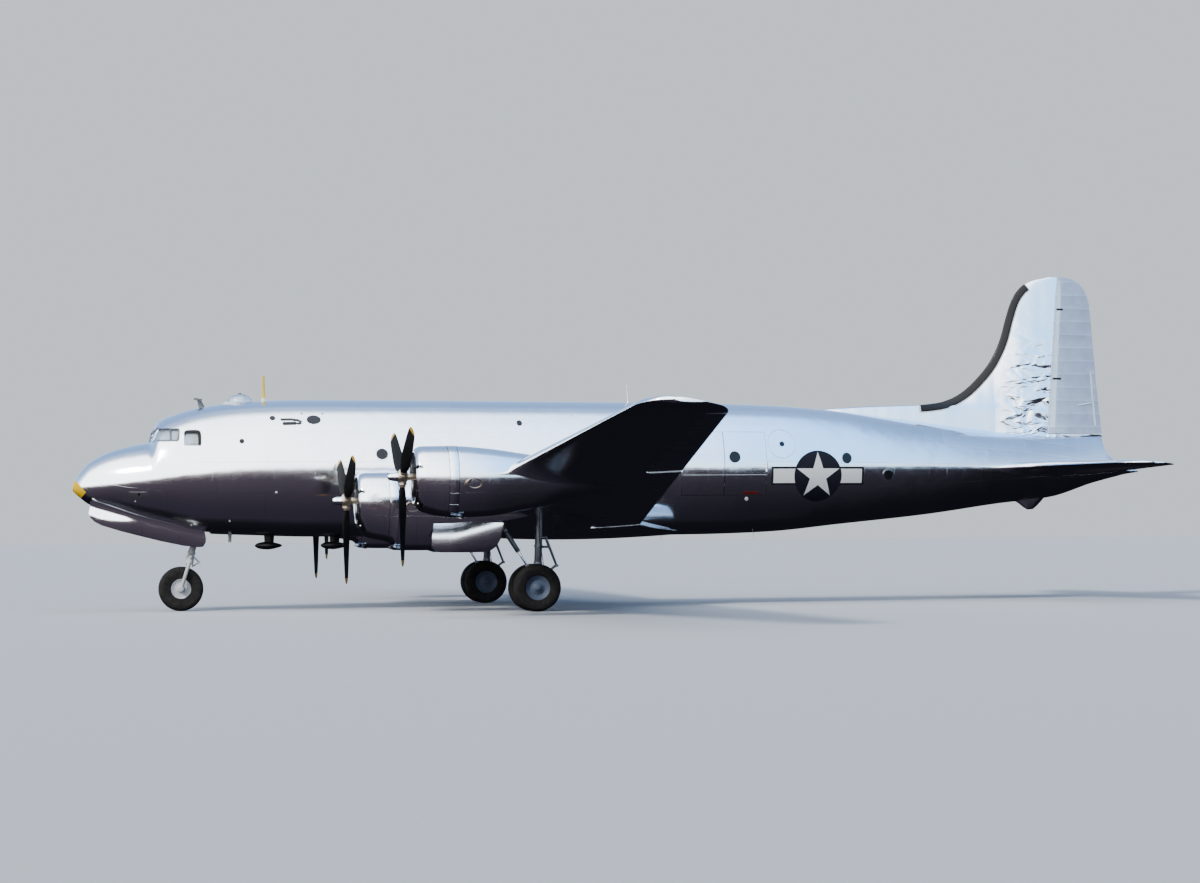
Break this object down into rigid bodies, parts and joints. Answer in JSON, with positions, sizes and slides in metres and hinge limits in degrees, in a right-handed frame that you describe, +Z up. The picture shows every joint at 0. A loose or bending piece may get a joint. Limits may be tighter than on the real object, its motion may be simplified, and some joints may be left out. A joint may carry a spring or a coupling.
{
  "type": "military transport plane",
  "caption": "Low-wing propeller transport plane in polished bare metal on its three-legged gear, with working control surfaces, flaps, wheels, nose steering and cargo doors.",
  "frame": {"origin": "centre of the bounding box, on the ground under the tyres", "axes": "+Z up, nose towards -X, port wing towards -Y"},
  "size_m": [28.575, 35.81, 8.77],
  "materials": {
    "polished_metal": "polished",
    "silver_fabric": "satin",
    "flap_metal": "satin",
    "floor_wood": "matte",
    "deck_green": "matte",
    "clear_panel": "gloss",
    "engine_grey": "satin",
    "black_blade": "satin",
    "leg_paint": "satin",
    "hub_paint": "satin",
    "tyre_rubber": "matte",
    "housing_black": "satin",
    "mast_yellow": "satin"
  },
  "bodies": {
    "airframe": {"fuselage_nose": "polished_metal", "fuselage_center": "polished_metal", "fuselage_aft": "polished_metal", "fuselage_tail": "polished_metal", "cabin_floor": "floor_wood", "flight_deck": "deck_green", "cockpit_glazing": "clear_panel", "astrodome": "clear_panel", "wing_left": "polished_metal", "wing_right": "polished_metal", "tailplane_left": "polished_metal", "tailplane_right": "polished_metal", "fin": "polished_metal", "nacelle_1": "polished_metal", "nacelle_2": "polished_metal", "nacelle_3": "polished_metal", "nacelle_4": "polished_metal", "engine_1": "engine_grey", "engine_2": "engine_grey", "engine_3": "engine_grey", "engine_4": "engine_grey", "main_leg_left": "leg_paint", "main_leg_right": "leg_paint", "nose_leg": "leg_paint", "nose_door_left": "polished_metal", "nose_door_right": "polished_metal", "main_door_left_inner": "polished_metal", "main_door_left_outer": "polished_metal", "main_door_right_inner": "polished_metal", "main_door_right_outer": "polished_metal", "loop_housing_front": "housing_black", "loop_housing_rear": "housing_black", "aerial_mast": "mast_yellow"},
    "flap_left": {"flap_left": "flap_metal"},
    "flap_right": {"flap_right": "flap_metal"},
    "aileron_left": {"aileron_left": "silver_fabric"},
    "aileron_right": {"aileron_right": "silver_fabric"},
    "elevator_left": {"elevator_left": "silver_fabric"},
    "elevator_right": {"elevator_right": "silver_fabric"},
    "rudder": {"rudder": "silver_fabric"},
    "propeller_1": {"propeller_1": "black_blade"},
    "propeller_2": {"propeller_2": "black_blade"},
    "propeller_3": {"propeller_3": "black_blade"},
    "propeller_4": {"propeller_4": "black_blade"},
    "nose_fork": {"nose_fork": "leg_paint"},
    "nose_wheel": {"nose_hub": "hub_paint", "nose_tyre": "tyre_rubber"},
    "main_wheels_left": {"main_hub_left": "hub_paint", "main_tyre_left_inner": "tyre_rubber", "main_tyre_left_outer": "tyre_rubber"},
    "main_wheels_right": {"main_hub_right": "hub_paint", "main_tyre_right_inner": "tyre_rubber", "main_tyre_right_outer": "tyre_rubber"},
    "cargo_door_front": {"cargo_door_front": "polished_metal"},
    "cargo_door_rear": {"cargo_door_rear": "polished_metal"}
  },
  "joints": [
    {"name": "flap_left_hinge", "type": "hinge", "parent": "airframe", "child": "flap_left", "pos_m": [-1.6705, -6.315, 2.75373], "axis": [0.0674, 0.9888, -0.133], "range_deg": [0, 40]},
    {"name": "flap_right_hinge", "type": "hinge", "parent": "airframe", "child": "flap_right", "pos_m": [-1.6705, 6.315, 2.75373], "axis": [-0.0674, 0.9888, 0.133], "range_deg": [0, 40]},
    {"name": "aileron_left_hinge", "type": "hinge", "parent": "airframe", "child": "aileron_left", "pos_m": [-2.20887, -13.825, 3.76647], "axis": [0.0651, 0.989, -0.1328], "range_deg": [-18, 18]},
    {"name": "aileron_right_hinge", "type": "hinge", "parent": "airframe", "child": "aileron_right", "pos_m": [-2.20887, 13.825, 3.76647], "axis": [-0.0651, 0.989, 0.1328], "range_deg": [-18, 18]},
    {"name": "elevator_left_hinge", "type": "hinge", "parent": "airframe", "child": "elevator_left", "pos_m": [12.03197, -2.98, 3.49771], "axis": [-0.0418, 0.9991, -0.0079], "range_deg": [-25, 15]},
    {"name": "elevator_right_hinge", "type": "hinge", "parent": "airframe", "child": "elevator_right", "pos_m": [12.03197, 2.98, 3.49771], "axis": [0.0418, 0.9991, 0.0079], "range_deg": [-25, 15]},
    {"name": "rudder_hinge", "type": "hinge", "parent": "airframe", "child": "rudder", "pos_m": [11.82582, 0, 6.5], "axis": [0.0858, 0, 0.9963], "range_deg": [-20, 20]},
    {"name": "propeller_1_spin", "type": "hinge", "parent": "airframe", "child": "propeller_1", "pos_m": [-7.12, -8.39, 3.169], "axis": [1, 0, 0], "continuous": true},
    {"name": "propeller_2_spin", "type": "hinge", "parent": "airframe", "child": "propeller_2", "pos_m": [-7.867, -3.774, 2.703], "axis": [1, 0, 0], "continuous": true},
    {"name": "propeller_3_spin", "type": "hinge", "parent": "airframe", "child": "propeller_3", "pos_m": [-7.867, 3.774, 2.703], "axis": [1, 0, 0], "continuous": true},
    {"name": "propeller_4_spin", "type": "hinge", "parent": "airframe", "child": "propeller_4", "pos_m": [-7.12, 8.39, 3.169], "axis": [1, 0, 0], "continuous": true},
    {"name": "nose_steering", "type": "hinge", "parent": "airframe", "child": "nose_fork", "pos_m": [-11.42843, 0, 1.2], "axis": [0.2419, 0, 0.9703], "range_deg": [-45, 45]},
    {"name": "nose_wheel_spin", "type": "hinge", "parent": "nose_fork", "child": "nose_wheel", "pos_m": [-11.628, 0, 0.56], "axis": [0, 1, 0], "continuous": true},
    {"name": "main_wheels_left_spin", "type": "hinge", "parent": "airframe", "child": "main_wheels_left", "pos_m": [-3.29, -3.774, 0.575], "axis": [0, 1, 0], "continuous": true},
    {"name": "main_wheels_right_spin", "type": "hinge", "parent": "airframe", "child": "main_wheels_right", "pos_m": [-3.29, 3.774, 0.575], "axis": [0, 1, 0], "continuous": true},
    {"name": "cargo_door_front_hinge", "type": "hinge", "parent": "airframe", "child": "cargo_door_front", "pos_m": [1.012, -1.592, 3.56], "axis": [0, 0, -1], "range_deg": [0, 95]},
    {"name": "cargo_door_rear_hinge", "type": "hinge", "parent": "airframe", "child": "cargo_door_rear", "pos_m": [3.268, -1.541, 3.56], "axis": [0, 0, 1], "range_deg": [0, 95]}
  ],
  "couplings": [
    {"joint": "flap_right_hinge", "follows": "flap_left_hinge", "ratio": 1},
    {"joint": "aileron_right_hinge", "follows": "aileron_left_hinge", "ratio": -1},
    {"joint": "elevator_right_hinge", "follows": "elevator_left_hinge", "ratio": 1}
  ]
}
